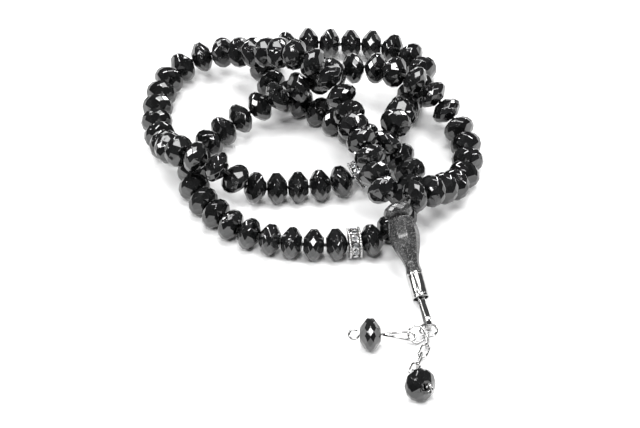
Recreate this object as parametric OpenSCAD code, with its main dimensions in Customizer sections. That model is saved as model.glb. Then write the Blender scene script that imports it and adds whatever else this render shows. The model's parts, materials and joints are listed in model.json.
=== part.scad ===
// Misbaha prayer beads: 99 faceted beads in three runs on one thread, two dividers,
// a leader with a silver end tube, and two drops on small rings and links.
// Millimetres, +Z up. The strand lies coiled on a flat surface at z = 0.

/* [Beads] */
// Diameter of a bead over its widest corners
bead_d = 8; // [6.5:0.1:10]
// Length of a bead along its hole
bead_t = 4.9; // [4.2:0.05:6.4]
// Facets round a bead's waist
bead_sides = 10; // [8:2:12]
// Half height of the diamond facets on the waist
diamond_h = 0.8; // [0.7:0.05:0.9]
// Height of the second row of facets over the waist
shoulder_h = 1.25; // [1.2:0.05:1.4]
// Diameter of the hole in a bead
bead_bore_d = 1.2; // [1.1:0.05:1.8]

/* [Strand] */
// Diameter of the thread
thread_d = 0.8; // [0.5:0.05:0.8]
// Free thread between two neighbours
bead_gap = 0.2; // [0.15:0.05:0.5]
// Beads in each of the three runs
run_beads = 33; // [33]
// Beads of a run that are nodes of their own
single_beads = 11; // [11]

/* [Dividers] */
// Diameter of a divider over its rims
divider_d = 7.6; // [6.5:0.1:8.5]
// Thickness of a divider
divider_t = 3.2; // [2.6:0.1:4]
// Thickness of each of its two rims
divider_rim_t = 0.65; // [0.5:0.05:0.8]
// Stones round a divider
stone_count = 12; // [9:1:12]
// Diameter of a stone
stone_d = 1.35; // [1:0.05:1.5]

/* [Leader] */
// Largest diameter of the collar bead
collar_d = 7.2; // [6.4:0.1:8]
// Length of the collar bead
collar_len = 3.8; // [3:0.1:5]
// Length of the leader bead with its spigot
leader_len = 15.1; // [13:0.1:18]
// Largest diameter of the leader bead
leader_d = 7.3; // [6.2:0.1:8.4]
// Diameter of the leader bead's neck
neck_d = 3.5; // [3.4:0.1:4]
// Diameter of the hole down the collar and the leader bead
leader_bore_d = 2.2; // [2:0.1:2.4]
// Downward slope of the leader in degrees
leader_tilt = 24; // [20:1:27]
// Direction of the leader on the surface in degrees
leader_heading = -75.5; // [-80:0.5:-70]

/* [End tube] */
// Outer diameter of the end tube
tube_d = 4.1; // [3.9:0.1:4.5]
// Wall of the end tube
tube_wall = 0.3; // [0.2:0.05:0.4]
// Length of the end tube
tube_len = 6.4; // [5.5:0.1:8]
// Depth that the leader's spigot goes into the tube
spigot_len = 1; // [0.8:0.1:1.4]

/* [Rings and drops] */
// Diameter of the wire of the rings, pins and loops
wire_d = 0.6; // [0.5:0.05:0.65]
// Diameter of a jump ring along the middle of its wire
ring_d = 4; // [3.9:0.05:4.1]
// Diameter of the wire of a chain link
link_wire_d = 0.5; // [0.4:0.05:0.55]
// Length of a link along the middle of its wire
link_len = 3.9; // [3.8:0.05:4]
// Width of a link along the middle of its wire
link_w = 2; // [1.9:0.05:2.1]
// Width of the bail's strap
bail_w = 1.3; // [1:0.1:1.4]
// Length of the bail outside the tube
bail_len = 9.6; // [9.4:0.1:9.8]

/* [Hidden] */
THREAD = "#1c1c1e";
BLACK = "#17181a";
SILVER = "#c9ccd0";
CLEAR = "#eef3f7";
SMOKE = "#3c3d40";
FINE = 32;

RUNS = 3;
// Size of the model relative to the one that the route below was laid out for
design_d = 8;
design_pitch = 5.1;
pitch = bead_t + bead_gap;
span = max(bead_d / design_d, pitch / design_pitch);
level_h = bead_d;
// A bead lies on one of its diamond facets
rest_z = bead_d / 2 * cos(180 / bead_sides);

// Leader line, from the top of the collar down to the open end of the tube
part_gap = 0.1;
leader_dir = [cos(leader_tilt) * cos(leader_heading),
              cos(leader_tilt) * sin(leader_heading),
              -sin(leader_tilt)];
head_len = collar_len + part_gap + leader_len + tube_len - spigot_len;
tube_end_z = tube_d / 2 * cos(leader_tilt);
// Shift that puts the middle of the whole object over the origin
shift = [-0.18, -2.2];
head_xy = [20.5, -6.9] * span + shift;
head = [head_xy.x, head_xy.y, tube_end_z + head_len * sin(leader_tilt)];

// Route of the thread over the surface: x, y and the level, where 0 lies on the
// surface and 1 lies on top of another stretch of the strand
ROUTE = [
    [16.7, -2.6, 1.08], [15.7, 3, 1.12], [13.8, 10, 1.32], [10.6, 16.5, 1.36], [9.8, 23, 1.2],
    [7.5, 29.5, 1.4], [2, 35, 1.95], [-4, 39.5, 1.95], [-10, 45, 1.4], [-17.2, 51.4, 0.75],
    [-26.8, 55.5, 0.22], [-35.1, 49.4, 0.03], [-38, 39.7, 0], [-38.3, 30.5, 0], [-36, 22, 0.12],
    [-33, 14, 0.85], [-28, 9, 1.12], [-21.5, 6.5, 0.95], [-15, 6.5, 0.1],
    [-8, 7.5, 0], [0, 8, 0], [7, 9.5, 0], [11.5, 11.5, 0],
    [16.8, 13.5, 0.58], [20.2, 18.8, 1.12], [22, 26, 0.95], [23, 33, 0.15], [24.5, 40, 0],
    [29, 48.3, 0], [26, 56.6, 0], [17, 61.4, 0], [8, 61.5, 0], [-1, 62.5, 0], [-9.2, 59.2, 0], [-12, 50.5, 0],
    [-8, 43, 0], [-1, 38, 0], [5, 33, 0], [10.5, 28, 0], [17, 23.5, 0],
    [22.5, 18.5, 0], [25, 11, 0], [23.5, 2, 0], [20.5, -6, 0], [17, -10.5, 0],
    [11.5, -11.5, 0], [3, -12.5, 0], [-6, -11.5, 0], [-15, -8.5, 0], [-22.5, -2, 0],
    [-28.4, 7.5, 0], [-28.1, 17.3, 0], [-22.5, 26.8, 0.06], [-15, 32.5, 0.3],
    [-6, 34.5, 0.95], [1, 37.5, 1], [6.2, 42.6, 0.87], [12.2, 45.3, 0.8], [18, 43.6, 0.9],
    [23.5, 39, 1.12], [29.7, 36, 0.8], [36.3, 30, 0.1], [38.9, 19.5, 0], [36.9, 10, 0],
    [32, 3.2, 0.48], [27, -2.2, 0.92],
];

function along(s) = head + leader_dir * s;
function placed(p) = [p.x * span + shift.x, p.y * span + shift.y, rest_z + p.z * level_h];
POINTS = concat([head, along(-0.6)], [for (p = ROUTE) placed(p)], [along(-0.6), head]);

// Smooth curve through the points: each stretch blends the two lines through its
// neighbours, and STEPS chords follow it
STEPS = 10;
function pick(i) = POINTS[min(max(i, 0), len(POINTS) - 1)];
function curve(i, t) =
    let (a = pick(i - 1), b = pick(i), c = pick(i + 1), d = pick(i + 2))
    0.5 * (2 * b + (c - a) * t + (2 * a - 5 * b + 4 * c - d) * t * t
           + (3 * b - a - 3 * c + d) * t * t * t);
function clear_of_floor(p) = [p.x, p.y, max(p.z, rest_z + 0.02)];
CURVE = [for (i = [0 : len(POINTS) - 2], k = [0 : STEPS - 1])
             clear_of_floor(curve(i, k / STEPS)), head];
CURVE_AT = [for (i = 0, s = 0; i < len(CURVE);
                 i = i + 1, s = s + (i < len(CURVE) ? norm(CURVE[i] - CURVE[i - 1]) : 0)) s];
CURVE_LEN = CURVE_AT[len(CURVE) - 1];

// Rings of the bead's corners: the flats of the diamonds lie in planes, and so do the
// kites above them and the triangles round the end face
mid_r = bead_d / 2 * cos(180 / bead_sides);
mid_slope = (bead_d / 2 - mid_r * cos(180 / bead_sides)) / diamond_h;
shoulder_r = bead_d / 2 - mid_slope * shoulder_h;
end_slope = (mid_r - shoulder_r * cos(180 / bead_sides)) / (shoulder_h - diamond_h);
end_r = mid_r - end_slope * (bead_t / 2 - diamond_h);

// What hangs on the thread, in order: the runs with a divider between two of them
strung = run_beads + 1;
ITEMS = RUNS * run_beads + RUNS - 1;
function is_divider(k) = k % strung == run_beads;
function item_t(k) = is_divider(k) ? divider_t : bead_t;

// Point of the curve at a distance from its start
function at(s, lo = 0, hi = -1) =
    let (top = hi < 0 ? len(CURVE) - 1 : hi)
    top - lo <= 1
        ? CURVE[lo] + (CURVE[top] - CURVE[lo]) * (s - CURVE_AT[lo])
            / max(CURVE_AT[top] - CURVE_AT[lo], 0.0001)
        : let (mid = floor((lo + top) / 2))
          CURVE_AT[mid] > s ? at(s, lo, mid) : at(s, mid, top);

// Half the free thread in a gap. Two neighbours touch at their rims on the inside of
// a bend, so the gap at the thread opens with the angle between them
function turn(s) =
    let (here = at(s), a = unit(here - at(s - pitch)), b = unit(at(s + pitch) - here))
    norm(b - a) / norm(a + b);
function half_gap(s) = let (t = turn(s)) bead_gap / 2 + end_r * t * 1.04 + pitch * t * t / 12;
function next_bend(s, k) =
    let (face = s + half_gap(s) + item_t(k), guess = face + half_gap(face + bead_gap / 2))
    face + half_gap(guess);
// Slack at the two ends: the strung length depends on where it starts, a little
start_len = 3;
BEND_AT = [for (k = 0, s = start_len; k <= ITEMS; s = next_bend(s, k), k = k + 1) s];
end_len = CURVE_LEN - BEND_AT[ITEMS];

// Bends of the thread, one in each gap: the thread is straight inside a bead
BENDS = [for (s = BEND_AT) at(s)];
function item_dir(k) = unit(BENDS[k + 1] - BENDS[k]);
function item_pos(k) =
    let (a = half_gap(BEND_AT[k]), b = half_gap(BEND_AT[k + 1]))
    (BENDS[k] + BENDS[k + 1] + item_dir(k) * (a - b)) / 2;

function unit(v) = v / norm(v);
// Frame with its z axis along a direction and its x axis as far up as that allows
function frame(pos, dir) =
    let (z = unit(dir), y = unit(cross(z, [0, 0, 1])), x = cross(y, z))
    [[x.x, y.x, z.x, pos.x], [x.y, y.y, z.y, pos.y], [x.z, y.z, z.z, pos.z], [0, 0, 0, 1]];

// The two lengths of thread side by side down the leader
thread_side = unit([leader_dir.y, -leader_dir.x, 0]) * 0.45;
knot_len = 2.6;
thread_end = collar_len + part_gap + leader_len + 0.05;
THREAD_PATH = concat([along(thread_end) + thread_side, along(0) + thread_side], BENDS,
                     [along(0) - thread_side, along(thread_end) - thread_side]);

// Loops and rings, placed from the middle of the tube's open end
tube_tip = along(head_len);
function hung(p) = [tube_tip.x + p.x, tube_tip.y + p.y, p.z];
bail_heading = -80;
bail_z = 1.95;
RING_1_AT = hung([1.5, -10.2, 1.75]);
RING_1_AXIS = [0, -0.05, 1];
RING_2_AT = hung([-1.3, -11.55, 1.8]);
RING_2_AXIS = [0.3, -0.62, 0.72];
LINK_COUNT = 5;
LINK_AT = [for (p = [[1.15, -13.35, 1.5], [0.3, -16.3, 1.2], [-0.8, -19.15, 1.25],
                     [-2, -21.95, 1.2], [-2.75, -24.85, 1.65]]) hung(p)];

// Side drop: a bead lying on the surface, with a long loop one side and an eye the other
side_bead_at = hung([-12.1, -13.6, rest_z + 0.02]);
stem_out = bead_t / 2 + 0.25;
side_loop_at = hung([-3.1, -12.3, 1.96]);
side_loop_r = 1.5;
eye_r = 1.1;

// Lower drop: a bead leaning back on its rim, with an eye at each end of its pin
drop_tilt = 26;
drop_axis = [0.6 * cos(drop_tilt), -0.8 * cos(drop_tilt), sin(drop_tilt)];
drop_across = [0.8, 0.6, 0];
rear_eye_r = 0.95;
rear_reach = stem_out + rear_eye_r;
drop_z = mid_r * cos(drop_tilt) + diamond_h * sin(drop_tilt) + 0.02;
rear_eye_at = hung([-2.95, -26.85, drop_z - rear_reach * sin(drop_tilt)]);
drop_at = rear_eye_at + drop_axis * rear_reach;

// Direction of a link: along the line between its neighbours
CHAIN = concat([RING_1_AT], LINK_AT, [rear_eye_at]);
function link_dir(k) =
    let (d = CHAIN[k + 2] - CHAIN[k])
    unit([d.x, d.y, d.z * (k == LINK_COUNT - 1 ? 1 : 0.5)]);
function link_axis(k) = k % 2 == 0 ? unit(cross(link_dir(k), [0, 0, 1])) : [0, 0, 1];

// Part of a circle, from an angle to another, in the plane of x and y
function arc(c, x, y, r, from, to, n) =
    [for (k = [0 : n]) let (a = from + (to - from) * k / n) c + r * (cos(a) * x + sin(a) * y)];
function race(c, x, axis, len, w) =
    let (y = cross(axis, x), h = (len - w) / 2)
    concat(arc(c + h * x, x, y, w / 2, -90, 90, 6), arc(c - h * x, x, y, w / 2, 90, 270, 6));

// Tube round a path: ups gives a direction across the path at each of its points
SIDES = 8;
function heading(path, i, closed) =
    let (n = len(path),
         a = closed || i > 0 ? unit(path[i] - path[(i + n - 1) % n]) : [0, 0, 0],
         b = closed || i < n - 1 ? unit(path[(i + 1) % n] - path[i]) : [0, 0, 0])
    unit(a + b);
function across(v, dir) = unit(v - (v * dir) * dir);
module wire(path, ups, d, closed = false) {
    n = len(path);
    points = [for (i = [0 : n - 1])
                  let (dir = heading(path, i, closed), x = across(ups[i], dir), y = cross(dir, x))
                  for (k = [0 : SIDES - 1])
                      path[i] + d / 2 * (cos(360 * k / SIDES) * x + sin(360 * k / SIDES) * y)];
    walls = [for (i = [0 : closed ? n - 1 : n - 2], k = [0 : SIDES - 1])
                 let (j = (i + 1) % n, m = (k + 1) % SIDES)
                 for (f = [[i * SIDES + k, j * SIDES + k, j * SIDES + m],
                           [i * SIDES + k, j * SIDES + m, i * SIDES + m]]) f];
    ends = closed ? [] : [[for (k = [0 : SIDES - 1]) k],
                          [for (k = [SIDES - 1 : -1 : 0]) (n - 1) * SIDES + k]];
    polyhedron(points = points, faces = concat(walls, ends));
}
function same(v, n) = [for (k = [1 : n]) v];

// Bead cut with a row of diamonds, two rows of kites and a row of triangles each side
module cut_bead(d, t, n, h1, h2, bore) {
    r = d / 2;
    c = cos(180 / n);
    r1 = r * c;
    r2 = r - (r - r1 * c) / h1 * h2;
    r3 = r1 - (r1 - r2 * c) / (h2 - h1) * (t / 2 - h1);
    function corner(r, z, k) = [r * cos(360 * k / n), r * sin(360 * k / n), z];
    function row(r, z, half) = [for (k = [0 : n - 1]) corner(r, z, k + half)];
    points = concat(row(r, 0, 0.5), row(r1, h1, 0), row(r1, -h1, 0), row(r2, h2, 0.5),
                    row(r2, -h2, 0.5), row(r3, t / 2, 0), row(r3, -t / 2, 0));
    cuts = [for (k = [0 : n - 1]) let (p = (k + n - 1) % n, q = (k + 1) % n)
                for (f = [[n + k, k, 2 * n + k, p],
                          [3 * n + k, n + q, k, n + k], [2 * n + k, k, 2 * n + q, 4 * n + k],
                          [5 * n + k, 3 * n + k, n + k, 3 * n + p],
                          [4 * n + p, 2 * n + k, 4 * n + k, 6 * n + k],
                          [5 * n + k, 5 * n + q, 3 * n + k],
                          [4 * n + k, 6 * n + q, 6 * n + k]]) f];
    tops = [[for (k = [n - 1 : -1 : 0]) 5 * n + k], [for (k = [0 : n - 1]) 6 * n + k]];
    difference() {
        polyhedron(points = points, faces = concat(cuts, tops));
        cylinder(h = t + 1, d = bore, center = true, $fn = FINE);
    }
}

module bead() {
    color(BLACK)
        cut_bead(bead_d, bead_t, bead_sides, diamond_h, shoulder_h, bead_bore_d);
}

module bead_on_thread(k) {
    multmatrix(frame(item_pos(k), item_dir(k)))
        bead();
}

// Beads of a run that stay together in one node
GROUPS = [[single_beads, 2 * single_beads - 1], [2 * single_beads, run_beads - 1]];
module bead_group(run, group) {
    for (k = [GROUPS[group][0] : GROUPS[group][1]])
        bead_on_thread(run * strung + k);
}

module thread() {
    color(THREAD)
        wire(THREAD_PATH, same([0, 0, 1], len(THREAD_PATH)), thread_d);
}

// Overhand lump that keeps the thread from slipping back through the leader
module thread_knot() {
    color(THREAD)
        multmatrix(frame(along(thread_end + 0.05 + knot_len / 2), leader_dir))
            hull()
                for (k = [0 : 2])
                    rotate([0, 0, 120 * k])
                        translate([0.45, 0, k * 0.3 - 0.3])
                            sphere(r = 0.95, $fn = 12);
}

// Divider: two rims and a core with a pocket for each stone
divider_core_d = divider_d - 1.3;
stone_seat = 0.35;
module round_stones() {
    for (k = [0 : stone_count - 1])
        rotate([0, 0, 360 * k / stone_count])
            translate([divider_core_d / 2 - stone_seat, 0, 0])
                rotate([0, 90, 0])
                    children();
}

module divider_body(k) {
    color(SILVER)
        multmatrix(frame(item_pos(k), item_dir(k)))
            difference() {
                union() {
                    cylinder(h = divider_t, d = divider_core_d, center = true, $fn = FINE);
                    for (s = [-1, 1])
                        translate([0, 0, s * (divider_t - divider_rim_t) / 2])
                            cylinder(h = divider_rim_t, d = divider_d, center = true, $fn = FINE);
                }
                cylinder(h = divider_t + 1, d = bead_bore_d, center = true, $fn = FINE);
                round_stones()
                    cylinder(h = 1, d = stone_d, $fn = FINE);
            }
}

module divider_stones(k) {
    color(CLEAR)
        multmatrix(frame(item_pos(k), item_dir(k)))
            round_stones() {
                translate([0, 0, 0.01])
                    cylinder(h = stone_seat, d = stone_d - 0.04, $fn = 8);
                translate([0, 0, 0.01 + stone_seat])
                    cylinder(h = 0.3, d1 = stone_d - 0.04, d2 = stone_d * 0.6, $fn = 8);
            }
}

module collar_bead() {
    color(BLACK)
        multmatrix(frame(along(collar_len / 2), leader_dir))
            cut_bead(collar_d, collar_len, bead_sides, 0.7, 1.1, leader_bore_d);
}

// Long bead with a full upper part and a slim neck that flares to the tube
module leader_bead() {
    body = leader_len - spigot_len - 0.02;
    r = leader_d / 2;
    neck = neck_d / 2;
    color(SMOKE)
        multmatrix(frame(along(collar_len + part_gap), leader_dir))
            difference() {
                union() {
                    rotate_extrude($fn = 10)
                        polygon([[0, 0], [r * 0.8, 0], [r * 0.9, body * 0.085],
                                 [r, body * 0.3], [r * 0.84, body * 0.53],
                                 [r * 0.57, body * 0.74], [neck, body * 0.87],
                                 [tube_d / 2, body], [0, body]]);
                    cylinder(h = leader_len, d = tube_d - 2 * tube_wall - 0.1, $fn = FINE);
                }
                translate([0, 0, -0.5])
                    cylinder(h = leader_len + 1, d = leader_bore_d, $fn = FINE);
            }
}

// Polished tube with a plug inside its open end
plug_in = 0.95;
plug_t = 0.8;
module end_tube() {
    color(SILVER)
        multmatrix(frame(along(head_len - tube_len), leader_dir))
            difference() {
                cylinder(h = tube_len, d = tube_d, $fn = FINE);
                translate([0, 0, -1])
                    cylinder(h = tube_len - plug_in - plug_t + 1, d = tube_d - 2 * tube_wall,
                             $fn = FINE);
                translate([0, 0, tube_len - plug_in])
                    cylinder(h = tube_len, d = tube_d - 2 * tube_wall, $fn = FINE);
            }
}

// Strap bent into a long loop, on a peg that stands on the tube's plug
module bail() {
    color(SILVER) {
        translate([tube_tip.x, tube_tip.y, bail_z])
            rotate([0, 0, bail_heading])
                rotate([90, 0, 0])
                    linear_extrude(height = bail_w, center = true)
                        difference() {
                            bail_outline(1.9, 1.1);
                            bail_outline(1.55, 0.75);
                        }
        multmatrix(frame(along(head_len - plug_in), leader_dir))
            cylinder(h = 0.65, d = 1, $fn = FINE);
    }
}

module bail_outline(far_r, near_r) {
    hull() {
        translate([bail_len - 1.9, 0])
            circle(r = far_r, $fn = FINE);
        translate([0.5, 0])
            circle(r = near_r, $fn = FINE);
    }
}

module ring(at, axis) {
    color(SILVER)
        multmatrix(frame(at, axis))
            rotate_extrude($fn = FINE)
                translate([ring_d / 2, 0])
                    circle(d = wire_d, $fn = 16);
}

module chain_link(k) {
    path = race(LINK_AT[k], link_dir(k), link_axis(k), link_len, link_w);
    color(SILVER)
        wire(path, same(link_axis(k), len(path)), link_wire_d, closed = true);
}

module side_drop_bead() {
    multmatrix(frame(side_bead_at, [1, 0, 0]))
        bead();
}

// One wire: an eye, the stem through the bead, and a long loop that closes on the stem
module side_drop_wire() {
    stem = side_bead_at + [stem_out, 0, 0];
    dir = unit(side_loop_at - stem);
    side = unit(cross(dir, [0, 0, 1]));
    eye_y = [0, 0.7, 0.7];
    eye_at = side_bead_at - [stem_out + eye_r, 0, 0];
    path = concat(arc(eye_at, [1, 0, 0], eye_y, eye_r, 45, 340, 12),
                  [side_bead_at - [stem_out - 0.15, 0, 0], stem],
                  arc(side_loop_at, dir, side, side_loop_r, -76, 76, 8),
                  [stem + (side_loop_at + side * side_loop_r - stem) * 0.3]);
    color(SILVER)
        wire(path, same([0, 0, 1], len(path)), wire_d);
}

module lower_drop_bead() {
    multmatrix(frame(drop_at, drop_axis))
        bead();
}

// One wire: an eye behind the bead, the stem through it, and an eye in front
module lower_drop_pin() {
    up = cross(drop_axis, drop_across);
    front = drop_at + drop_axis * (stem_out + eye_r);
    rear = arc(rear_eye_at, drop_axis, drop_across, rear_eye_r, 50, 335, 12);
    stem = [for (k = [0 : 5]) drop_at + drop_axis * (stem_out - 0.1) * (k / 2.5 - 1)];
    fore = arc(front, -drop_axis, up, eye_r, 20, 315, 12);
    path = concat(rear, stem, fore);
    ups = concat(same(up, len(rear)),
                 [for (k = [0 : 5]) up * cos(18 * k) + drop_across * sin(18 * k)],
                 same(drop_across, len(fore)));
    color(SILVER)
        wire(path, ups, wire_d);
}

function two(k) = str(k < 10 ? "0" : "", k);
function single_name(r, k) = str("run_", r + 1, "_bead_", two(k + 1));
function group_name(r, g) =
    str("run_", r + 1, "_beads_", GROUPS[g][0] + 1, "_to_", GROUPS[g][1] + 1);
function link_name(k) = str("link_", k + 1);

thread();
thread_knot();
collar_bead();
leader_bead();
end_tube();
bail();
for (r = [0 : RUNS - 1], k = [0 : single_beads - 1])
    bead_on_thread(r * strung + k);
for (r = [0 : RUNS - 1], g = [0 : 1])
    bead_group(r, g);
divider_body(run_beads);  // divider_1
divider_stones(run_beads);  // divider_1_stones
divider_body(strung + run_beads);  // divider_2
divider_stones(strung + run_beads);  // divider_2_stones
ring(RING_1_AT, RING_1_AXIS);  // ring_1
ring(RING_2_AT, RING_2_AXIS);  // ring_2
for (k = [0 : LINK_COUNT - 1])
    chain_link(k);
side_drop_wire();
side_drop_bead();
lower_drop_pin();
lower_drop_bead();
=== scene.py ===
"""Looks of a three-run string of prayer beads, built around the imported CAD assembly."""

import json
import logging
import math
from dataclasses import dataclass
from enum import Enum

import bmesh
import bpy
import numpy as np
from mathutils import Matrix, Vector

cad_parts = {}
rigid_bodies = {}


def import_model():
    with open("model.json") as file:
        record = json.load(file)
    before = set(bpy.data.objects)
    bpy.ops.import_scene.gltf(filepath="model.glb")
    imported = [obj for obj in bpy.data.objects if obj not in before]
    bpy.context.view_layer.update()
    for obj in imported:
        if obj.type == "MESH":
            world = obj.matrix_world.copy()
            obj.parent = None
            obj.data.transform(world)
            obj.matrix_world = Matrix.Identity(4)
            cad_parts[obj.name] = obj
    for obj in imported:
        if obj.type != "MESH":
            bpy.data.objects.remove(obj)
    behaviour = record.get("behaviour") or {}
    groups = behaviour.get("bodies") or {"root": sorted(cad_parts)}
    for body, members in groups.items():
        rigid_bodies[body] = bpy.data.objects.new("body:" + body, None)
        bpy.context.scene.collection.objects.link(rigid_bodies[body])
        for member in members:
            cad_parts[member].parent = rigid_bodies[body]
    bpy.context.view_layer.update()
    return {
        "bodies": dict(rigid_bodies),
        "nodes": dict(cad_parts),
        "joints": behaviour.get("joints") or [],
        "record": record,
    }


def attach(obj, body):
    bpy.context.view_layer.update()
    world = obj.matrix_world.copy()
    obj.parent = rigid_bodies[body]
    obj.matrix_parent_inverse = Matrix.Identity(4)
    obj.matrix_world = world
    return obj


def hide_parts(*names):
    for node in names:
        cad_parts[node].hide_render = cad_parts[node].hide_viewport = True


LOG = logging.getLogger("prayer_beads")
MM = 0.001


class Slot(Enum):
    """Material slots of the record."""

    BLACK = "black_crystal"
    SPECKLED = "speckled_crystal"
    SILVER = "silver"
    CLEAR = "clear_stones"
    THREAD = "thread"


class Lie(Enum):
    """How freely a bead may have turned round the thread."""

    RESTING = "resting"
    RAISED = "raised"


# ---------------------------------------------------------------- vectors


def unit(v: np.ndarray) -> np.ndarray:
    """Give a vector's direction, with length one."""
    return v / np.linalg.norm(v)


def vec(*values: float) -> np.ndarray:
    """Make an array of floats from the values."""
    return np.array(values, dtype=float)


def frame_of(direction: np.ndarray) -> np.ndarray:
    """Make a turn whose z column runs along a direction.

    Its x column points as far up as that allows.

    Args:
        direction: the way that z points.

    Returns:
        A 3 by 3 matrix whose columns are x, y and z.
    """
    z = unit(direction)
    y = unit(np.cross(z, vec(0, 0, 1)))
    return np.column_stack([np.cross(y, z), y, z])


def arc(centre: np.ndarray, x: np.ndarray, y: np.ndarray, radius: float, start: float,
        end: float, steps: int) -> np.ndarray:
    """Points of a part of a circle.

    A point is the centre plus the radius times the cosine of its angle along x and the
    sine of its angle along y.

    Args:
        centre: middle of the circle.
        x: direction of angle zero.
        y: direction of a right angle.
        radius: radius of the circle.
        start: first angle in degrees.
        end: last angle in degrees.
        steps: number of chords.

    Returns:
        An array with one row for each point.
    """
    a = np.radians(np.linspace(start, end, steps + 1))[:, None]
    return centre + radius * (np.cos(a) * x + np.sin(a) * y)


def smooth_path(points: np.ndarray, steps: int) -> np.ndarray:
    """Curve that passes through points, each stretch a blend of its neighbours' lines.

    Args:
        points: the points, one in each row.
        steps: chords in each stretch.

    Returns:
        The points of the smooth curve.
    """
    p = np.vstack([points[:1], points, points[-1:]])
    a, b, c, d = (p[i:len(p) - 3 + i, None, :] for i in range(4))
    t = (np.arange(steps) / steps)[None, :, None]
    body = 0.5 * (2 * b + (c - a) * t + (2 * a - 5 * b + 4 * c - d) * t ** 2
                  + (3 * b - a - 3 * c + d) * t ** 3)
    return np.vstack([body.reshape(-1, 3), points[-1:]])


# ---------------------------------------------------------------- meshes


@dataclass(frozen=True)
class Shell:
    """A closed surface: its corners in millimetres, and its faces."""

    points: np.ndarray
    faces: tuple[np.ndarray, ...]

    def moved(self, turn: np.ndarray, place: np.ndarray) -> "Shell":
        """Turn the shell and then move it."""
        return Shell(self.points @ turn.T + place, self.faces)

    def copies(self, turns: np.ndarray, places: np.ndarray) -> "Shell":
        """Repeat the shell at several places.

        Args:
            turns: one 3 by 3 matrix for each copy.
            places: one point for each copy.

        Returns:
            All the copies as one shell.
        """
        n, count = len(self.points), len(places)
        points = np.einsum("kij,nj->kni", turns, self.points) + places[:, None, :]
        steps = (np.arange(count) * n)[:, None, None]
        faces = tuple((f[None] + steps).reshape(-1, f.shape[1]) for f in self.faces)
        return Shell(points.reshape(-1, 3), faces)

    @staticmethod
    def joined(*shells: "Shell") -> "Shell":
        """Put several shells in one."""
        points, faces, base = [], [], 0
        for shell in shells:
            points.append(shell.points)
            faces += [f + base for f in shell.faces]
            base += len(shell.points)
        return Shell(np.vstack(points), tuple(faces))


def grid_faces(rows: int, sides: int, closed: bool) -> np.ndarray:
    """Quads between rows of points that each go once round.

    Args:
        rows: number of rows.
        sides: points in each row.
        closed: whether the last row joins the first.

    Returns:
        One quad in each row of the array.
    """
    i = np.arange(rows if closed else rows - 1)[:, None]
    k = np.arange(sides)[None, :]
    j, m = (i + 1) % rows, (k + 1) % sides
    quads = np.stack([i * sides + k, i * sides + m, j * sides + m, j * sides + k], axis=-1)
    return quads.reshape(-1, 4)


def lathe(profile: np.ndarray, sides: int, closed: bool = False, ripple: float = 0.0,
          waves: int = 0) -> Shell:
    """Turned shell about the z axis.

    A point's distance from the axis is the profile's radius plus the ripple times the
    size of the sine of half the waves times its angle.

    Args:
        profile: rows of radius and height.
        sides: points round the axis.
        closed: whether the profile comes back to its start, as in a tube.
        ripple: height of the beading round the rim.
        waves: number of beads round the rim.

    Returns:
        The shell, with flat ends where the profile is open.
    """
    a = np.linspace(0, 2 * math.pi, sides, endpoint=False)
    r = profile[:, :1] + ripple * np.abs(np.sin(a * waves / 2))[None, :]
    z = np.repeat(profile[:, 1:], sides, axis=1)
    points = np.stack([r * np.cos(a), r * np.sin(a), z], axis=-1).reshape(-1, 3)
    rows = len(profile)
    faces = [grid_faces(rows, sides, closed)]
    if not closed:
        faces += [np.arange(sides)[None, ::-1], (rows - 1) * sides + np.arange(sides)[None, :]]
    return Shell(points, tuple(faces))


def sweep(path: np.ndarray, ups: np.ndarray, outline: np.ndarray, closed: bool) -> Shell:
    """Shell that carries an outline along a path.

    At each point the outline stands square to the mean of the two neighbouring chords,
    and its first coordinate lies along the given direction.

    Args:
        path: the points, one in each row.
        ups: a direction across the path for each point, or one for all.
        outline: rows of two coordinates across the path.
        closed: whether the path comes back to its start.

    Returns:
        The shell, with flat ends where the path is open.
    """
    ups = np.broadcast_to(ups, path.shape)
    if closed:
        run = np.roll(path, -1, axis=0) - np.roll(path, 1, axis=0)
    else:
        run = np.gradient(path, axis=0)
    run = run / np.linalg.norm(run, axis=1, keepdims=True)
    x = ups - (ups * run).sum(axis=1, keepdims=True) * run
    x = x / np.linalg.norm(x, axis=1, keepdims=True)
    y = np.cross(run, x)
    points = (path[:, None, :] + outline[None, :, :1] * x[:, None, :]
              + outline[None, :, 1:] * y[:, None, :])
    sides, rows = len(outline), len(path)
    faces = [grid_faces(rows, sides, closed)]
    if not closed:
        faces += [np.arange(sides)[None, ::-1], (rows - 1) * sides + np.arange(sides)[None, :]]
    return Shell(points.reshape(-1, 3), tuple(faces))


def round_outline(diameter: float, sides: int = 16) -> np.ndarray:
    """Outline of round wire."""
    a = np.linspace(0, 2 * math.pi, sides, endpoint=False)
    return diameter / 2 * np.column_stack([np.cos(a), np.sin(a)])


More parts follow.
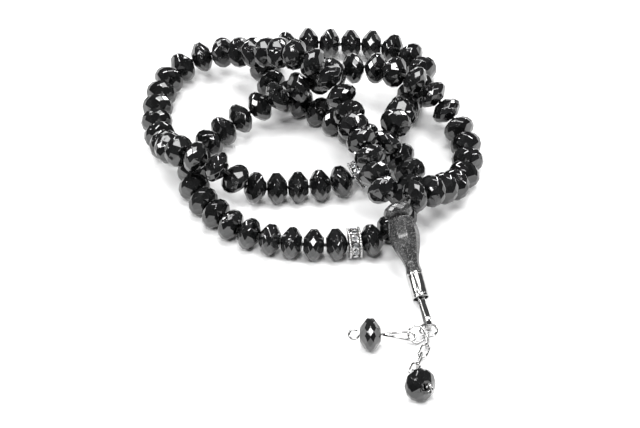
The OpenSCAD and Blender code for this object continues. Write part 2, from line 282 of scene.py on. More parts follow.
def cut_bead(diameter: float, thick: float, sides: int, low: float, high: float,
             bore: float) -> Shell:
    """Bead cut with a row of diamonds, two rows of kites and a row of triangles each side.

    The diamonds touch the rim's corners. The radius at the first height is the rim's
    times the cosine of half a side, and the radii at the second height and at the end
    are those that keep each kite and triangle flat.

    Args:
        diameter: across the rim's corners.
        thick: from one end face to the other.
        sides: corners round the rim.
        low: height of the diamonds' points over the rim.
        high: height of the kites' side corners over the rim.
        bore: diameter of the hole.

    Returns:
        The bead, with its hole along z.
    """
    r = diameter / 2
    c = math.cos(math.pi / sides)
    r1 = r * c
    r2 = r - (r - r1 * c) / low * high
    r3 = r1 - (r1 - r2 * c) / (high - low) * (thick / 2 - low)
    n = sides
    k = np.arange(n)
    p, q = (k + n - 1) % n, (k + 1) % n
    rows = [(r, 0, 0.5), (r1, low, 0), (r1, -low, 0), (r2, high, 0.5), (r2, -high, 0.5),
            (r3, thick / 2, 0), (r3, -thick / 2, 0), (bore / 2 * 1.25, thick / 2, 0),
            (bore / 2 * 1.25, -thick / 2, 0), (bore / 2, thick / 2 - 0.15, 0),
            (bore / 2, 0.15 - thick / 2, 0)]
    angle = [2 * math.pi * (k + half) / n for _, _, half in rows]
    points = np.vstack([np.column_stack([radius * np.cos(a), radius * np.sin(a),
                                         np.full(n, float(z))])
                        for (radius, z, _), a in zip(rows, angle)])
    quads = [(n + k, k, 2 * n + k, p), (3 * n + k, n + q, k, n + k),
             (2 * n + k, k, 2 * n + q, 4 * n + k), (5 * n + k, 3 * n + k, n + k, 3 * n + p),
             (4 * n + p, 2 * n + k, 4 * n + k, 6 * n + k),
             (5 * n + k, 5 * n + q, 7 * n + q, 7 * n + k),
             (6 * n + q, 6 * n + k, 8 * n + k, 8 * n + q),
             (7 * n + k, 7 * n + q, 9 * n + q, 9 * n + k),
             (8 * n + q, 8 * n + k, 10 * n + k, 10 * n + q),
             (9 * n + k, 9 * n + q, 10 * n + q, 10 * n + k)]
    triangles = [(5 * n + k, 5 * n + q, 3 * n + k), (4 * n + k, 6 * n + q, 6 * n + k)]
    return Shell(points, (np.vstack([np.column_stack(f) for f in quads]),
                          np.vstack([np.column_stack(f) for f in triangles])))


def make_piece(name: str, shell: Shell, seed: int, smooth: bool = False,
               sharp_rows: int = 0) -> bpy.types.Object:
    """Make an object from a shell.

    Each face gets a number between nought and one, which the finishes use to tell
    neighbouring facets apart.

    Args:
        name: name of the object.
        shell: the surface, in millimetres.
        seed: seed of the faces' numbers.
        smooth: whether the faces are shaded as one curved surface.
        sharp_rows: points round a turned shell whose long edges stay sharp, or nought.

    Returns:
        The object, at the origin.
    """
    mesh = bpy.data.meshes.new(name)
    faces = [face for group in shell.faces for face in group.tolist()]
    mesh.from_pydata((shell.points * MM).tolist(), [], faces)
    work = bmesh.new()
    work.from_mesh(mesh)
    bmesh.ops.recalc_face_normals(work, faces=work.faces[:])
    work.to_mesh(mesh)
    work.free()
    count = len(mesh.polygons)
    tone = mesh.attributes.new("facet", "FLOAT", "FACE")
    tone.data.foreach_set("value", np.random.default_rng(seed).random(count).astype(np.float32))
    mesh.polygons.foreach_set("use_smooth", np.full(count, smooth))
    if sharp_rows:
        ends = np.empty(len(mesh.edges) * 2, dtype=np.int32)
        mesh.edges.foreach_get("vertices", ends)
        ends = ends.reshape(-1, 2)
        sharp = mesh.attributes.new("sharp_edge", "BOOLEAN", "EDGE")
        sharp.data.foreach_set("value", np.abs(ends[:, 0] - ends[:, 1]) == sharp_rows)
    mesh.update()
    piece = bpy.data.objects.new(name, mesh)
    bpy.context.scene.collection.objects.link(piece)
    return piece


def soften(piece: bpy.types.Object, width: float, segments: int = 1) -> None:
    """Round a piece's edges by a width in millimetres."""
    bevel = piece.modifiers.new("softened_edges", "BEVEL")
    bevel.width = width * MM
    bevel.segments = segments
    bevel.limit_method = "ANGLE"
    bevel.angle_limit = math.radians(12)


def node_islands(node: bpy.types.Object) -> list[np.ndarray]:
    """Split a CAD node's mesh into its separate solids.

    Corners at the same place count as one. Each corner starts with its own label, and
    every edge hands the lower of its two labels to both ends until nothing changes.

    Args:
        node: the CAD node.

    Returns:
        The corners of each solid, in millimetres, in the order of the mesh.
    """
    mesh = node.data
    flat = np.empty(len(mesh.vertices) * 3, dtype=np.float32)
    mesh.vertices.foreach_get("co", flat)
    keys = np.round(flat.reshape(-1, 3).astype(float) * 1e6).astype(np.int64)
    places, spot = np.unique(keys, axis=0, return_inverse=True)
    spot = spot.reshape(-1)
    ends = np.empty(len(mesh.edges) * 2, dtype=np.int32)
    mesh.edges.foreach_get("vertices", ends)
    a, b = spot[ends.reshape(-1, 2)].T
    label = np.arange(len(places))
    while True:
        low = np.minimum(label[a], label[b])
        after = label.copy()
        np.minimum.at(after, a, low)
        np.minimum.at(after, b, low)
        if np.array_equal(after, label):
            break
        label = after
    return [places[label == k] / 1000.0 for k in np.unique(label)]


# ---------------------------------------------------------------- shader graph


class Socket:
    """An output of the shader graph that takes part in sums."""

    def __init__(self, graph: "Graph", port: bpy.types.NodeSocket) -> None:
        """Keep the graph and the port."""
        self.graph = graph
        self.port = port

    def _sum(self, kind: str, first: object, second: object) -> "Socket":
        """Make a Math node of a kind from two values."""
        return self.graph.make("Math", {"operation": kind}, {0: first, 1: second})

    def __add__(self, other: object) -> "Socket":
        """Add."""
        return self._sum("ADD", self, other)

    def __radd__(self, other: object) -> "Socket":
        """Add to a number."""
        return self._sum("ADD", other, self)

    def __mul__(self, other: object) -> "Socket":
        """Multiply."""
        return self._sum("MULTIPLY", self, other)

    def __rmul__(self, other: object) -> "Socket":
        """Multiply a number."""
        return self._sum("MULTIPLY", other, self)

    def __pow__(self, other: object) -> "Socket":
        """Raise to a power."""
        return self._sum("POWER", self, other)

    def clear_part(self, low: float, high: float) -> "Socket":
        """Stretch the range from low to high over nought to one, and clip the rest."""
        return self.graph.make("MapRange", {"clamp": True},
                               {"Value": self, "From Min": low, "From Max": high})


class Graph:
    """A material with one Principled shader, built node by node."""

    def __init__(self, name: str) -> None:
        """Start an empty material."""
        self.material = bpy.data.materials.new(name)
        self.material.use_nodes = True
        self.tree = self.material.node_tree
        self.tree.nodes.clear()
        self.shader = self.tree.nodes.new("ShaderNodeBsdfPrincipled")
        out = self.tree.nodes.new("ShaderNodeOutputMaterial")
        self.tree.links.new(self.shader.outputs[0], out.inputs["Surface"])

    def make(self, kind: str, settings: dict[str, object] | None = None,
             inputs: dict[object, object] | None = None, out: object = 0) -> Socket:
        """Make any node.

        Args:
            kind: type of the node without its usual prefix.
            settings: properties of the node.
            inputs: values or sockets for its inputs.
            out: name or number of the output to use.

        Returns:
            The chosen output.
        """
        node = self.tree.nodes.new("ShaderNode" + kind)
        for key, value in (settings or {}).items():
            setattr(node, key, value)
        for key, value in (inputs or {}).items():
            self._feed(node.inputs[key], value)
        return Socket(self, node.outputs[out])

    def _feed(self, port: bpy.types.NodeSocket, value: object) -> None:
        """Link a socket to an input, or set a constant on it."""
        if isinstance(value, Socket):
            self.tree.links.new(value.port, port)
        else:
            port.default_value = value

    def place(self) -> Socket:
        """Position on the piece, in its own coordinates."""
        return self.make("TexCoord", out="Object")

    def noise(self, size: float, detail: float = 2.0, where: Socket | None = None) -> Socket:
        """Cloudy pattern whose patches are a size in millimetres."""
        return self.make("TexNoise", inputs={"Vector": where or self.place(),
                                             "Scale": 1 / (size * MM), "Detail": detail})

    def cells(self, size: float, out: object = "Distance") -> Socket:
        """Cell pattern whose cells are a size in millimetres."""
        return self.make("TexVoronoi", inputs={"Vector": self.place(),
                                               "Scale": 1 / (size * MM)}, out=out)

    def facet(self) -> Socket:
        """Number of the facet, between nought and one."""
        return self.make("Attribute", {"attribute_name": "facet"}, out="Fac")

    def mix(self, share: Socket, first: object, second: object) -> Socket:
        """Mix two colours by a share of the second.

        Args:
            share: nought for the first colour, one for the second.
            first: a colour or a socket.
            second: a colour or a socket.

        Returns:
            The mixed colour.
        """
        node = self.tree.nodes.new("ShaderNodeMix")
        node.data_type = "RGBA"
        self._feed(node.inputs["Factor"], share)
        self._feed(node.inputs[6], first)
        self._feed(node.inputs[7], second)
        return Socket(self, node.outputs[2])

    def bump(self, height: Socket, depth: float, strength: float = 1.0) -> Socket:
        """Turn a height pattern into a normal, with a depth in millimetres."""
        return self.make("Bump", inputs={"Height": height, "Distance": depth * MM,
                                         "Strength": strength})

    def finish(self, **inputs: object) -> bpy.types.Material:
        """Set the shader's inputs by name, with underscores for spaces."""
        for key, value in inputs.items():
            self._feed(self.shader.inputs[key.replace("_", " ")], value)
        return self.material


def grey(value: float, warmth: float = 0.0) -> tuple[float, float, float, float]:
    """A grey, a little warmer or cooler."""
    return (value * (1 + warmth), value, value * (1 - warmth), 1.0)


# ---------------------------------------------------------------- finishes


@dataclass(frozen=True)
class BlackCrystal:
    """Polished black cut glass, each facet a little different."""

    dark: float = 0.002
    light: float = 0.012
    gloss: float = 0.03
    ior: float = 1.72

    def make(self) -> bpy.types.Material:
        """Build the material."""
        g = Graph("black_crystal")
        wave = g.noise(1.9, 1.5)
        haze = g.noise(1.1, 3.0).clear_part(0.5, 0.8)
        pits = g.cells(0.35).clear_part(0.0, 0.22)
        colour = g.mix(g.facet() * 0.7 + haze * 0.3, grey(self.dark, -0.05),
                       grey(self.light, -0.03))
        return g.finish(Base_Color=colour,
                        Roughness=self.gloss + g.facet() * 0.07 + haze * 0.06,
                        IOR=self.ior,
                        Coat_Weight=g.facet() * 0.4,
                        Coat_Roughness=0.03,
                        Normal=g.bump(wave + pits * 0.04, 0.16, 0.6))


@dataclass(frozen=True)
class SpeckledCrystal:
    """Dark glass with fine bright flakes under a clear surface."""

    dark: float = 0.008
    fleck: float = 0.34

    def make(self) -> bpy.types.Material:
        """Build the material."""
        g = Graph("speckled_crystal")
        fine = g.noise(0.2, 2.0).clear_part(0.54, 0.64)
        wide = g.noise(0.5, 2.0).clear_part(0.42, 0.66)
        flakes = fine * (0.15 + wide * 0.6)
        smoke = g.mix(g.noise(2.2, 3.0), grey(self.dark), grey(self.dark * 4, -0.02))
        colour = g.mix(flakes, smoke, grey(self.fleck, 0.01))
        return g.finish(Base_Color=colour, Metallic=flakes * 0.7,
                        Roughness=0.2 + flakes * 0.2 + g.facet() * 0.06, IOR=1.45,
                        Coat_Weight=0.15 + g.facet() * 0.35, Coat_Roughness=0.06,
                        Normal=g.bump(g.noise(2.4, 1.5) + fine * 0.06, 0.3, 0.6))


@dataclass(frozen=True)
class PolishedSilver:
    """Bright plated metal with a few hairlines and dull patches."""

    bright: float = 0.47
    worn: float = 0.3

    def make(self) -> bpy.types.Material:
        """Build the material."""
        g = Graph("polished_silver")
        wear = g.noise(1.3, 4.0).clear_part(0.5, 0.78)
        streak = g.make("Mapping", {"vector_type": "POINT"},
                        {"Vector": g.place(), "Rotation": (0.5, 0.3, 0.9),
                         "Scale": (1.0, 1.0, 0.12)})
        hair = g.noise(0.12, 2.0, streak)
        colour = g.mix(wear * 0.6, grey(self.bright, 0.004), grey(self.worn, 0.012))
        return g.finish(Base_Color=colour, Metallic=1.0,
                        Roughness=0.1 + wear * 0.14 + hair.clear_part(0.5, 0.9) * 0.08,
                        Normal=g.bump(hair + g.noise(1.6, 1.0) * 0.8, 0.012, 0.7))


@dataclass(frozen=True)
class ClearStone:
    """Clear foiled stones, with painted highlights and painted shade: each facet is bright or grey
    at random.
    """

    def make(self) -> bpy.types.Material:
        """Build the material."""
        g = Graph("clear_stones")
        tone = g.facet()
        # Painted highlight and painted shade: the facet's number picks a bright or a dark grey in
        # place of the flashes and dark reflections of clear stones.
        colour = g.mix(tone ** 1.6, grey(0.9, -0.02), grey(0.12, -0.04))
        return g.finish(Base_Color=colour, Metallic=0.55 + tone * 0.35,
                        Roughness=0.03 + g.noise(0.4, 2.0) * 0.05, IOR=1.9,
                        Coat_Weight=1.0, Coat_Roughness=0.02,
                        Normal=g.bump(g.noise(0.8, 1.0), 0.03, 0.5))


@dataclass(frozen=True)
class TwistedThread:
    """Black waxed thread of fine fibres."""

    def make(self) -> bpy.types.Material:
        """Build the material."""
        g = Graph("twisted_thread")
        lay = g.make("TexWave", {"wave_type": "BANDS", "bands_direction": "DIAGONAL"},
                     {"Vector": g.place(), "Scale": 900.0, "Distortion": 1.5, "Detail": 2.0})
        fibre = g.noise(0.12, 3.0)
        colour = g.mix(lay * 0.6 + fibre * 0.4, grey(0.006), grey(0.05))
        return g.finish(Base_Color=colour, Roughness=0.5 + fibre * 0.25,
                        Normal=g.bump(lay + fibre * 0.5, 0.06))


@dataclass(frozen=True)
class PaleTable:
    """White table top with a very faint grain."""

    def make(self) -> bpy.types.Material:
        """Build the material."""
        g = Graph("pale_table")
        grain = g.noise(6.0, 4.0)
        return g.finish(Base_Color=g.mix(grain, grey(0.9), grey(0.93)),
                        Roughness=0.62 + grain * 0.1)


class Finishes:
    """The materials of the whole string, made once."""

    def __init__(self) -> None:
        """Build every finish."""
        self.of = {Slot.BLACK: BlackCrystal().make(), Slot.SPECKLED: SpeckledCrystal().make(),
                   Slot.SILVER: PolishedSilver().make(), Slot.CLEAR: ClearStone().make(),
                   Slot.THREAD: TwistedThread().make()}

    def dress(self, piece: bpy.types.Object, slot: Slot, body: str, *nodes: str) -> None:
        """Give a piece its finish, its body and the CAD nodes that it stands for.

        Args:
            piece: the new piece.
            slot: material slot of its finish.
            body: CAD body that it rides on.
            nodes: CAD nodes that it replaces.
        """
        piece.data.materials.append(self.of[slot])
        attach(piece, body)
        if nodes:
            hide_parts(*nodes)
        LOG.info("%s rides on %s: %d faces", piece.name, body, len(piece.data.polygons))

    def carry(self, node: bpy.types.Object, slot: Slot) -> None:
        """Give a CAD node that stays the finish of its slot."""
        node.data.materials.clear()
        node.data.materials.append(self.of[slot])
        LOG.info("%s keeps its CAD shape", node.name)


# ---------------------------------------------------------------- the string


@dataclass
class BeadRuns:
    """The three runs of cut beads and the beads of the two drops.

    Corners of a CAD bead within hole_reach of its centre belong to its hole, a bead
    whose centre is more than rest_play above its rim's radius lies on others, and a
    resting bead sways by a few degrees from lying flat on a facet.
    """

    frame: dict
    finishes: Finishes
    diameter: float = 8.0
    thick: float = 4.9
    sides: int = 10
    low: float = 0.8
    high: float = 1.25
    bore: float = 1.2
    edge: float = 0.11
    hole_reach: float = 2.75
    rest_play: float = 0.5
    sway: float = 5.0

    def shape(self) -> Shell:
        """One bead."""
        return cut_bead(self.diameter, self.thick, self.sides, self.low, self.high, self.bore)

    def turned(self, corners: np.ndarray, rng: np.random.Generator) -> tuple:
        """Find where a CAD bead stands, and give it a turn of its own round its hole.

        The hole's direction is the one in which the outer corners spread least. A bead
        that rests on the table turns by whole facets and a few degrees, and a raised
        one by any angle.

        Args:
            corners: corners of the CAD bead.
            rng: source of the turns.

        Returns:
            The bead's turn and its centre.
        """
        centre = corners.mean(axis=0)
        outer = corners - centre
        outer = outer[np.linalg.norm(outer, axis=1) > self.hole_reach]
        direction = np.linalg.eigh(outer.T @ outer)[1][:, 0]
        lie = Lie.RAISED if centre[2] > self.diameter / 2 + self.rest_play else Lie.RESTING
        step = 360 / self.sides
        spin = (rng.uniform(0, 360) if lie is Lie.RAISED
                else step * rng.integers(self.sides) + rng.uniform(-self.sway, self.sway))
        a = math.radians(spin)
        about = np.array([[math.cos(a), -math.sin(a), 0], [math.sin(a), math.cos(a), 0],
                          [0, 0, 1]])
        return frame_of(direction * (1 if rng.random() < 0.5 else -1)) @ about, centre

    def build(self) -> None:
        """Make a piece for every bead node and dress it."""
        bodies = self.frame["record"]["behaviour"]["bodies"]
        body_of = {node: body for body, nodes in bodies.items() for node in nodes}
        names = [n for n in self.frame["nodes"] if n.startswith("run_")]
        names += ["side_drop_bead", "lower_drop_bead"]
        for seed, name in enumerate(sorted(names)):
            rng = np.random.default_rng(100 + seed)
            stands = [self.turned(c, rng) for c in node_islands(self.frame["nodes"][name])]
            shell = self.shape().copies(np.array([s[0] for s in stands]),
                                        np.array([s[1] for s in stands]))
            piece = make_piece("cut_" + name, shell, 500 + seed)
            soften(piece, self.edge)
            self.finishes.dress(piece, Slot.BLACK, body_of[name], name)


@dataclass
class Divider:
    """Silver spacer with two beaded rims and a row of clear stones."""

    number: int
    frame: dict
    finishes: Finishes
    rim: float = 7.6
    core: float = 6.3
    thick: float = 3.2
    rim_thick: float = 0.65
    bore: float = 1.2
    stones: int = 12
    stone: float = 1.3

    def stand(self) -> tuple[np.ndarray, np.ndarray]:
        """Turn and centre of the divider, from its spin joint."""
        joint = next(j for j in self.frame["joints"]
                     if j["name"] == f"divider_{self.number}_spin")
        return frame_of(vec(*joint["axis"])), vec(*joint["pos_m"]) / MM

    def metal(self) -> Shell:
        """Band, rims and the collets of the stones."""
        half, core, rim = self.thick / 2, self.core / 2, self.rim / 2
        inner = half - self.rim_thick
        band = np.array([[self.bore / 2, -half + 0.1], [self.bore / 2, half - 0.1],
                         [self.bore / 2 + 0.3, half], [core - 0.2, half], [core, half - 0.1],
                         [core, -half + 0.1], [core - 0.2, -half], [self.bore / 2 + 0.3, -half]])
        parts = [lathe(band, 64, closed=True)]
        mid = (half + inner) / 2
        a = np.linspace(0, 2 * math.pi, 10, endpoint=False)
        wreath = np.column_stack([rim - 0.45 + 0.32 * np.cos(a), 0.31 * np.sin(a)])
        for side in (-1, 1):
            ring = lathe(wreath + vec(0, side * mid), 216, closed=True, ripple=0.12, waves=36)
            parts.append(ring)
        collet = np.array([[0.6, 0.0], [0.72, 0.0], [0.72, 0.42], [0.68, 0.47], [0.6, 0.42]])
        parts.append(self.round(lathe(collet, 20, closed=True), core - 0.05))
        return Shell.joined(*parts)

    def round(self, shell: Shell, radius: float) -> Shell:
        """Set copies of a shell round the band, pointing outwards."""
        a = 2 * math.pi * np.arange(self.stones) / self.stones
        nought, one = np.zeros(self.stones), np.ones(self.stones)
        out = np.column_stack([np.cos(a), np.sin(a), nought])
        side = np.column_stack([-np.sin(a), np.cos(a), nought])
        up = np.column_stack([nought, nought, one])
        turns = np.stack([side, up, out], axis=-1)
        return shell.copies(turns, out * radius)

    def gems(self) -> Shell:
        """Clear stones with a table and a crown of eight facets."""
        r = self.stone / 2 - 0.04
        cut = np.array([[r * 0.4, -0.3], [r, 0.12], [r, 0.2], [r * 0.58, 0.46]])
        return self.round(lathe(cut, 8), self.core / 2)

    def build(self) -> None:
        """Make and dress the spacer."""
        turn, centre = self.stand()
        body = f"divider_{self.number}"
        metal = make_piece(f"spacer_{self.number}_metal", self.metal().moved(turn, centre),
                           40 + self.number, smooth=True)
        self.finishes.dress(metal, Slot.SILVER, body, body)
        gems = make_piece(f"spacer_{self.number}_stones", self.gems().moved(turn, centre),
                          50 + self.number)
        self.finishes.dress(gems, Slot.CLEAR, body, body + "_stones")


@dataclass
class Leader:
    """Collar bead, long leader bead, end tube and the strap that hangs from it."""

    finishes: Finishes
    head: tuple[float, float, float] = (20.32, -9.1, 11.7972)
    tilt: float = 24.0
    heading: float = -75.5
    collar_d: float = 7.2
    collar_len: float = 3.8
    gap: float = 0.1
    length: float = 14.08
    diameter: float = 7.3
    neck_d: float = 3.5
    tube_d: float = 4.1
    tube_wall: float = 0.3
    tube_len: float = 6.4
    strap_len: float = 9.6
    strap_w: float = 1.3
    strap_z: float = 1.95
    strap_heading: float = -80.0
    edge: float = 0.11

    @property
    def direction(self) -> np.ndarray:
        """Way that the leader points."""
        t, h = math.radians(self.tilt), math.radians(self.heading)
        return vec(math.cos(t) * math.cos(h), math.cos(t) * math.sin(h), -math.sin(t))

    def along(self, s: float) -> np.ndarray:
        """Point at a distance down the leader's line."""
        return vec(*self.head) + self.direction * s

    @property
    def tip(self) -> np.ndarray:
        """Middle of the tube's open end."""
        return self.along(self.collar_len + self.gap + self.length + self.tube_len)

    def leader(self) -> Shell:
        """Leader bead with ten long facets that follow a smooth profile."""
        r = self.diameter / 2
        knots = np.array([[r * 0.8, 0, 0], [r * 0.88, 0, 0.085], [r, 0, 0.3], [r * 0.84, 0, 0.53],
                          [r * 0.57, 0, 0.74], [self.neck_d / 2, 0, 0.87],
                          [self.tube_d / 2 + 0.02, 0, 1.0]])
        smooth = smooth_path(knots, 7)
        profile = np.column_stack([smooth[:, 0], smooth[:, 2] * (self.length - 0.02)])
        top = np.array([[1.15, 0.25], [1.3, 0.0], [r * 0.8 - 0.25, 0.0]])
        profile[0, 1] = 0.15
        return lathe(np.vstack([top, profile]), 10)

    def spigot_shell(self) -> Shell:
        """Pin of the leader inside the tube."""
        r = self.tube_d / 2 - self.tube_wall - 0.06
        z = self.length - 0.4
        return lathe(np.array([[r, z], [r, z + 1.3]]), 24)

    def tube(self) -> Shell:
        """End tube with rolled lips, a fine line near each end, and its plug."""
        r, w, n = self.tube_d / 2, self.tube_wall, self.tube_len
        rows = [[r - 0.08, 0], [r, 0.08], [r, 0.55], [r - 0.06, 0.62], [r - 0.06, 0.7],
                [r, 0.77], [r, n - 0.85], [r - 0.06, n - 0.78], [r - 0.06, n - 0.7],
                [r, n - 0.63], [r, n - 0.1], [r - 0.08, n], [r - w + 0.06, n],
                [r - w, n - 0.08], [r - w, 0.08], [r - w + 0.06, 0]]
        plug = [[r - w + 0.01, n - 1.75], [r - w + 0.01, n - 1.0], [r - w - 0.15, n - 0.95]]
        peg = [[0.5, n - 0.96], [0.5, n - 0.3]]
        return Shell.joined(lathe(np.array(rows), 64, closed=True), lathe(np.array(plug), 48),
                            lathe(np.array(peg), 24))

    def strap_line(self, far: float, near: float) -> np.ndarray:
        """Loop round two circles.

        The straight sides touch both circles, so each arc ends at the angle whose
        cosine is the difference of the radii over the distance of the centres.

        Args:
            far: radius of the far circle.
            near: radius of the circle by the tube.

        Returns:
            Points of the loop in the strap's own plane.
        """
        a, b = self.strap_len - 1.9, 0.5
        lean = math.degrees(math.acos((far - near) / (a - b)))
        x, y = vec(1, 0, 0), vec(0, 0, 1)
        return np.vstack([arc(vec(a, 0, 0), x, y, far, -lean, lean, 24),
                          arc(vec(b, 0, 0), x, y, near, lean, 360 - lean, 16)])

    def strap(self) -> Shell:
        """Flat strap bent into a long loop on edge."""
        outer, inner = self.strap_line(1.9, 1.1), self.strap_line(1.55, 0.75)
        half = vec(0, self.strap_w / 2, 0)
        rows = np.stack([outer + half, outer - half, inner - half, inner + half], axis=1)
        a = math.radians(self.strap_heading)
        turn = np.array([[math.cos(a), -math.sin(a), 0], [math.sin(a), math.cos(a), 0],
                         [0, 0, 1]])
        points = rows.reshape(-1, 3) @ turn.T + vec(self.tip[0], self.tip[1], self.strap_z)
        return Shell(points, (grid_faces(len(outer), 4, True),))

    def build(self) -> None:
        """Make and dress the leader's pieces."""
        turn = frame_of(self.direction)
        collar = cut_bead(self.collar_d, self.collar_len, 10, 0.7, 1.1, 2.2)
        piece = make_piece("cut_collar", collar.moved(turn, self.along(self.collar_len / 2)), 7)
        soften(piece, self.edge)
        self.finishes.dress(piece, Slot.SPECKLED, "collar", "collar_bead")
        start = self.along(self.collar_len + self.gap)
        piece = make_piece("long_leader", self.leader().moved(turn, start), 8, smooth=True,
                           sharp_rows=10)
        soften(piece, 0.06)
        self.finishes.dress(piece, Slot.SPECKLED, "strand", "leader_bead")
        piece = make_piece("leader_spigot", self.spigot_shell().moved(turn, start), 9)
        self.finishes.dress(piece, Slot.SPECKLED, "strand")
        place = self.along(self.collar_len + self.gap + self.length)
        piece = make_piece("rolled_tube", self.tube().moved(turn, place), 10, smooth=True)
        soften(piece, 0.02, 2)
        self.finishes.dress(piece, Slot.SILVER, "strand", "end_tube")
        piece = make_piece("strap_loop", self.strap(), 11, smooth=True)
        soften(piece, 0.1, 2)
        self.finishes.dress(piece, Slot.SILVER, "strand", "bail")


@dataclass
class Hardware:
    """Rings, chain and the wires of the two drops."""

    finishes: Finishes
    tip: np.ndarray
    wire_d: float = 0.6
    ring_d: float = 4.0
    link_wire_d: float = 0.5
    link_len: float = 3.9
    link_w: float = 2.0
    eye_r: float = 1.1
    rear_eye_r: float = 0.95
    side_loop_r: float = 1.5
    bead_t: float = 4.9
    rest: float = 3.8242
    drop_tilt: float = 26.0

    def hung(self, x: float, y: float, z: float) -> np.ndarray:
        """Point measured from the tube's end, with its height over the table."""
        return vec(self.tip[0] + x, self.tip[1] + y, z)

    def ring(self, name: str, at: np.ndarray, axis: np.ndarray) -> None:
        """Make a jump ring with a fine slit where its ends meet."""
        turn = frame_of(axis)
        path = arc(at, turn[:, 0], turn[:, 1], self.ring_d / 2, 2, 358, 72)
        piece = make_piece("round_" + name, sweep(path, turn[:, 2], round_outline(self.wire_d),
                                                  False), 20, smooth=True)
        soften(piece, 0.05, 2)
        self.finishes.dress(piece, Slot.SILVER, name, name)

    def links(self, start: np.ndarray, end: np.ndarray) -> None:
        """Make the chain's five links, each turned a quarter from the one before."""
        at = [self.hung(*p) for p in ((1.15, -13.35, 1.5), (0.3, -16.3, 1.2),
                                      (-0.8, -19.15, 1.25), (-2, -21.95, 1.2),
                                      (-2.75, -24.85, 1.65))]
        chain = [start, *at, end]
        for k, middle in enumerate(at):
            run = chain[k + 2] - chain[k]
            x = unit(run * vec(1, 1, 1.0 if k == len(at) - 1 else 0.5))
            axis = unit(np.cross(x, vec(0, 0, 1))) if k % 2 == 0 else vec(0, 0, 1)
            y = np.cross(axis, x)
            h, r = (self.link_len - self.link_w) / 2, self.link_w / 2
            path = np.vstack([arc(middle + h * x, x, y, r, -90, 90, 20),
                              arc(middle - h * x, x, y, r, 90, 270, 20)])
            shell = sweep(path, axis, round_outline(self.link_wire_d), True)
            piece = make_piece(f"oval_link_{k + 1}", shell, 30 + k, smooth=True)
            self.finishes.dress(piece, Slot.SILVER, f"link_{k + 1}", f"link_{k + 1}")

    def side_wire(self) -> None:
        """Make the side drop's wire: an eye, the stem, and a long drop-shaped loop."""
        bead = self.hung(-12.1, -13.6, self.rest)
        loop = self.hung(-3.1, -12.3, 1.96)
        reach = self.bead_t / 2 + 0.25
        stem = bead + vec(reach, 0, 0)
        way = unit(loop - stem)
        side = unit(np.cross(way, vec(0, 0, 1)))
        eye = bead - vec(reach + self.eye_r, 0, 0)
        path = np.vstack([arc(eye, vec(1, 0, 0), vec(0, 0.7, 0.7) * 1.01, self.eye_r, 45, 340, 40),
                          [bead - vec(reach - 0.15, 0, 0)], [bead], [stem],
                          [stem + (loop - side * self.side_loop_r - stem) * 0.45],
                          arc(loop, way, side, self.side_loop_r, -76, 76, 30),
                          [stem + (loop + side * self.side_loop_r - stem) * 0.05]])
        shell = sweep(path, vec(0, 0, 1), round_outline(self.wire_d), False)
        piece = make_piece("drop_shaped_wire", shell, 60, smooth=True)
        self.finishes.dress(piece, Slot.SILVER, "side_drop_wire", "side_drop_wire")

    def lower_pin(self) -> np.ndarray:
        """Make the lower drop's pin: an eye behind the bead, the stem, and an eye in front.

        Returns:
            The middle of the rear eye.
        """
        t = math.radians(self.drop_tilt)
        axis = vec(0.6 * math.cos(t), -0.8 * math.cos(t), math.sin(t))
        across = vec(0.8, 0.6, 0)
        reach = self.bead_t / 2 + 0.25
        height = 4 * math.cos(math.pi / 10) * math.cos(t) + 0.8 * math.sin(t) + 0.02
        rear = self.hung(-2.95, -26.85, height - (reach + self.rear_eye_r) * math.sin(t))
        bead = rear + axis * (reach + self.rear_eye_r)
        up = np.cross(axis, across)
        front = bead + axis * (reach + self.eye_r)
        back_eye = arc(rear, axis, across, self.rear_eye_r, 50, 335, 40)
        stem = bead + axis * ((reach - 0.1) * np.linspace(-1, 1, 11))[:, None]
        fore_eye = arc(front, -axis, up, self.eye_r, 20, 315, 40)
        a = np.radians(np.linspace(0, 90, 11))[:, None]
        ups = np.vstack([np.repeat(up[None], len(back_eye), 0), up * np.cos(a)
                         + across * np.sin(a), np.repeat(across[None], len(fore_eye), 0)])
        shell = sweep(np.vstack([back_eye, stem, fore_eye]), ups, round_outline(self.wire_d),
                      False)
        piece = make_piece("drop_pin_with_eyes", shell, 61, smooth=True)
        self.finishes.dress(piece, Slot.SILVER, "lower_drop_pin", "lower_drop_pin")
        return rear

    def build(self) -> None:
        """Make and dress all the hardware."""
        first = self.hung(1.5, -10.2, 1.75)
        self.ring("ring_1", first, vec(0, -0.05, 1))
        self.ring("ring_2", self.hung(-1.3, -11.55, 1.8), vec(0.3, -0.62, 0.72))
        rear = self.lower_pin()
        self.links(first, rear)
        self.side_wire()


# ---------------------------------------------------------------- studio


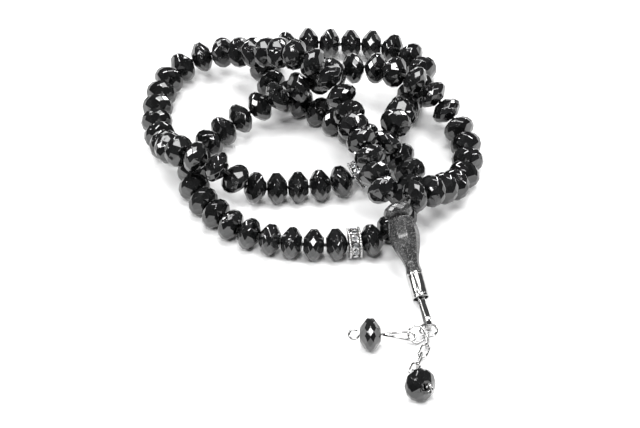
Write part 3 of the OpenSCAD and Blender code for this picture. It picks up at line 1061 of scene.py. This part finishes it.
@dataclass
class Studio:
    """Table, camera and lights."""

    target: tuple[float, float, float] = (0.00222, 0.0001, 0.0)
    distance: float = 0.7
    elevation: float = 43.5
    lens: float = 162.2

    def table(self) -> None:
        """Lay the table top under the string."""
        corners = np.array([[-1, -1, 0], [1, -1, 0], [1, 1, 0], [-1, 1, 0]]) * 1500.0
        top = make_piece("table_top", Shell(corners, (np.array([[0, 1, 2, 3]]),)), 1)
        top.data.materials.append(PaleTable().make())

    def camera(self) -> None:
        """Stand the camera at the front, looking down."""
        a = math.radians(self.elevation)
        data = bpy.data.cameras.new("front_camera")
        data.lens = self.lens
        data.sensor_width = 36
        data.clip_start, data.clip_end = 0.01, 10
        camera = bpy.data.objects.new("front_camera", data)
        target = Vector(self.target)
        camera.location = target + Vector((0, -math.cos(a), math.sin(a))) * self.distance
        camera.rotation_euler = (target - camera.location).to_track_quat("-Z", "Y").to_euler()
        bpy.context.scene.collection.objects.link(camera)
        bpy.context.scene.camera = camera

    def softbox(self, name: str, place: tuple[float, float, float], size: tuple[float, float],
                power: float) -> None:
        """Hang a soft light that faces the string.

        Args:
            name: name of the light.
            place: where it hangs, in metres.
            size: width and height in metres.
            power: power in watts.
        """
        data = bpy.data.lights.new(name, "AREA")
        data.shape = "RECTANGLE"
        data.size, data.size_y = size
        data.energy = power
        light = bpy.data.objects.new(name, data)
        light.location = place
        light.rotation_euler = (-Vector(place)).to_track_quat("-Z", "Y").to_euler()
        bpy.context.scene.collection.objects.link(light)

    def build(self) -> None:
        """Set up the studio."""
        self.table()
        self.camera()
        self.softbox("high_box", (0.1, 0.15, 1.1), (0.8, 0.5), 9.5)
        self.softbox("left_box", (-0.75, -0.15, 0.7), (0.26, 0.34), 5.6)
        self.softbox("right_box", (0.7, -0.4, 0.75), (0.24, 0.3), 4.6)
        self.softbox("front_box", (-0.15, -0.5, 1.05), (0.4, 0.22), 5.0)
        self.softbox("back_left_box", (-0.45, 0.75, 0.6), (0.34, 0.2), 4.6)
        self.softbox("back_right_box", (0.5, 0.8, 0.5), (0.3, 0.2), 4.2)
        world = bpy.data.worlds.new("dim_room")
        world.use_nodes = True
        world.node_tree.nodes["Background"].inputs["Color"].default_value = (0.5, 0.5, 0.51, 1)
        world.node_tree.nodes["Background"].inputs["Strength"].default_value = 0.22
        bpy.context.scene.world = world
        settings = bpy.context.scene.view_settings
        settings.view_transform = "Standard"
        settings.look = "None"


def corners(box: tuple[Vector, Vector]) -> list[list[float]]:
    """Write a box as plain lists of numbers."""
    return [[float(x) for x in corner] for corner in box]


def main() -> None:
    """Build the string, its finishes and the studio."""
    logging.basicConfig(level=logging.INFO, format="%(message)s")
    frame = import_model()
    Studio().build()
    finishes = Finishes()
    BeadRuns(frame, finishes).build()
    for number in (1, 2):
        Divider(number, frame, finishes).build()
    leader = Leader(finishes)
    leader.build()
    Hardware(finishes, leader.tip).build()
    finishes.carry(frame["nodes"]["thread"], Slot.THREAD)
    finishes.carry(frame["nodes"]["thread_knot"], Slot.THREAD)


if __name__ == "__main__":
    main()
